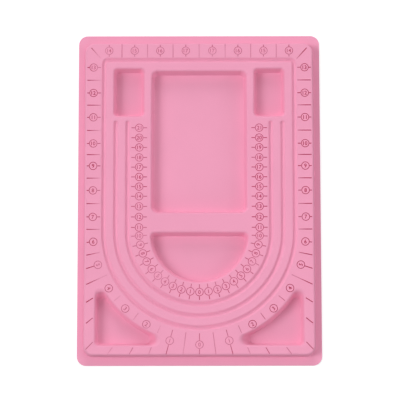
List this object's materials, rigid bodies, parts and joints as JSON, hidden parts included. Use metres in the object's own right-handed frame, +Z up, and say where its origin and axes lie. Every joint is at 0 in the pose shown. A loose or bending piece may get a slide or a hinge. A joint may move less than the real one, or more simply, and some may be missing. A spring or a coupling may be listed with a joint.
{
  "type": "bead board",
  "caption": "Flat rectangular bead board: a formed plastic sheet with a flocked face, recessed trays and U-shaped bead channels.",
  "frame": {"origin": "middle of the board's outline, on the surface that the rim lies on", "axes": "+X across the board, +Y along its length towards the two small trays, +Z up out of the flocked face"},
  "size_m": [0.24, 0.33, 0.012],
  "materials": {
    "flock": "short velvety flock in one even pink, with a soft sheen",
    "sheet": "formed plastic sheet in the same pink, satin, bare on the underside"
  },
  "bodies": {
    "root": {"flock_pile": "flock", "tray_shell": "sheet"}
  },
  "joints": []
}
